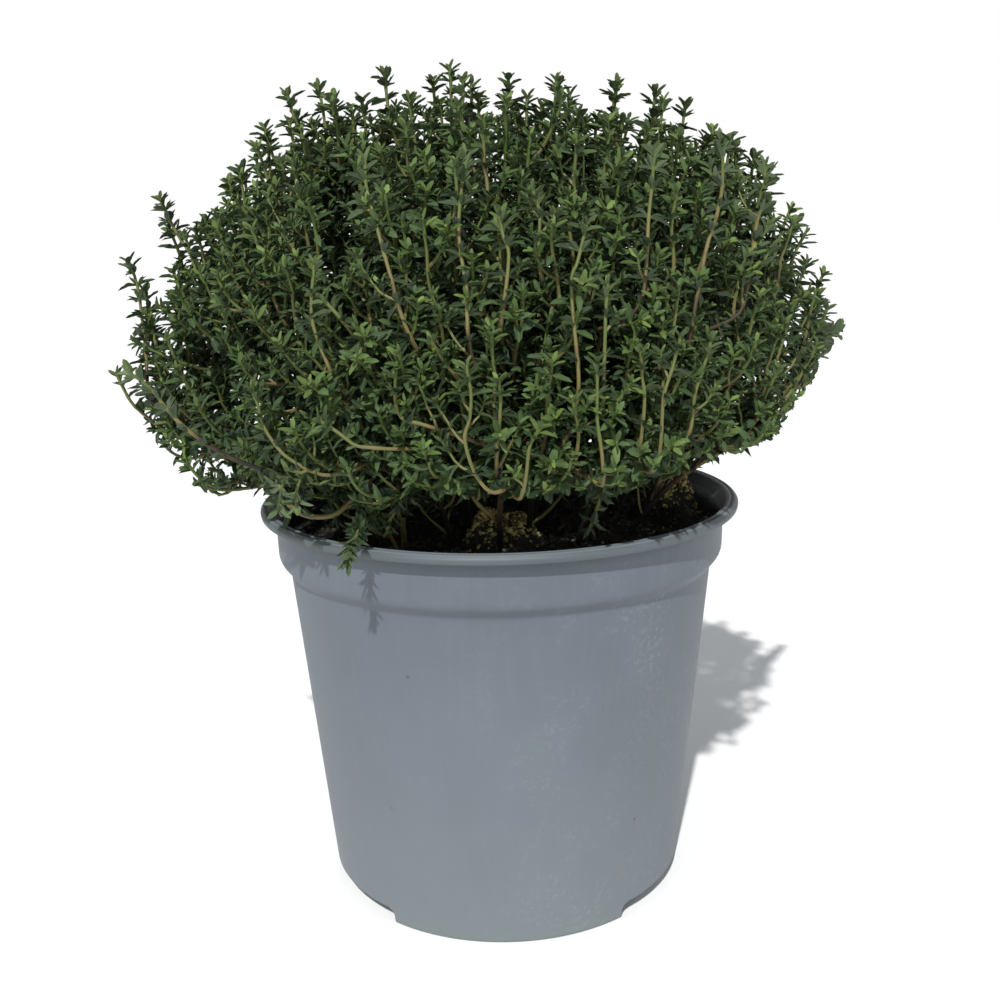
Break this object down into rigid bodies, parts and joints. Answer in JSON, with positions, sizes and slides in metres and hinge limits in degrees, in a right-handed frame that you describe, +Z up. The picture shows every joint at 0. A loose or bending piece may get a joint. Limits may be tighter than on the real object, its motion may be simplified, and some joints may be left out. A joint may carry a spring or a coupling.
{
  "type": "potted thyme",
  "caption": "Dense dome of leafy thyme stems growing from peat in a tapering blue-grey plastic nursery pot with a rolled lip and a notched foot ring.",
  "frame": {"origin": "on the ground, under the middle of the pot and of the bush", "axes": "+Z up; -Y towards the front, where one of the pot's three feet is centred; +X to the right seen from the front"},
  "size_m": [0.216, 0.1921, 0.2336],
  "materials": {
    "pot_plastic": "moulded polypropylene, blue-grey, semi-matte with faint scuffs and pale specks",
    "peat": "damp dark peat, crumbly and fibrous",
    "thyme_leaf": "small leathery leaves, dark green above and greyer below, fresher green at the tips",
    "thyme_stem": "thin square stems, yellow-green to tan, woody brown near the soil"
  },
  "bodies": {
    "root": {"low_runner": "thyme_leaf", "pot": "pot_plastic", "rim_sprig": "thyme_leaf", "soil": "peat", "stem_01": "thyme_leaf", "stem_02": "thyme_leaf", "stem_03": "thyme_leaf", "stem_04": "thyme_leaf", "stem_05": "thyme_leaf", "stem_06": "thyme_leaf", "stem_07": "thyme_leaf", "stem_08": "thyme_leaf", "stem_09": "thyme_leaf", "stem_10": "thyme_leaf", "stem_11": "thyme_leaf", "stem_12": "thyme_leaf", "stem_13": "thyme_leaf", "stem_14": "thyme_leaf", "stem_15": "thyme_leaf", "stem_16": "thyme_leaf", "stem_17": "thyme_leaf", "stem_18": "thyme_leaf", "stem_19": "thyme_leaf", "stem_20": "thyme_leaf", "stem_21": "thyme_leaf", "stem_22": "thyme_leaf", "stem_23": "thyme_leaf", "stem_24": "thyme_leaf", "stem_25": "thyme_leaf", "stem_26": "thyme_leaf", "stem_27": "thyme_leaf", "stem_28": "thyme_leaf", "stem_29": "thyme_leaf", "stem_30": "thyme_leaf", "stem_31": "thyme_leaf", "stem_32": "thyme_leaf", "stem_33": "thyme_leaf", "stem_35": "thyme_leaf", "stem_36": "thyme_leaf", "stem_37": "thyme_leaf", "stem_38": "thyme_leaf", "stem_39": "thyme_leaf", "stem_40": "thyme_leaf", "stem_41": "thyme_leaf"}
  },
  "joints": []
}
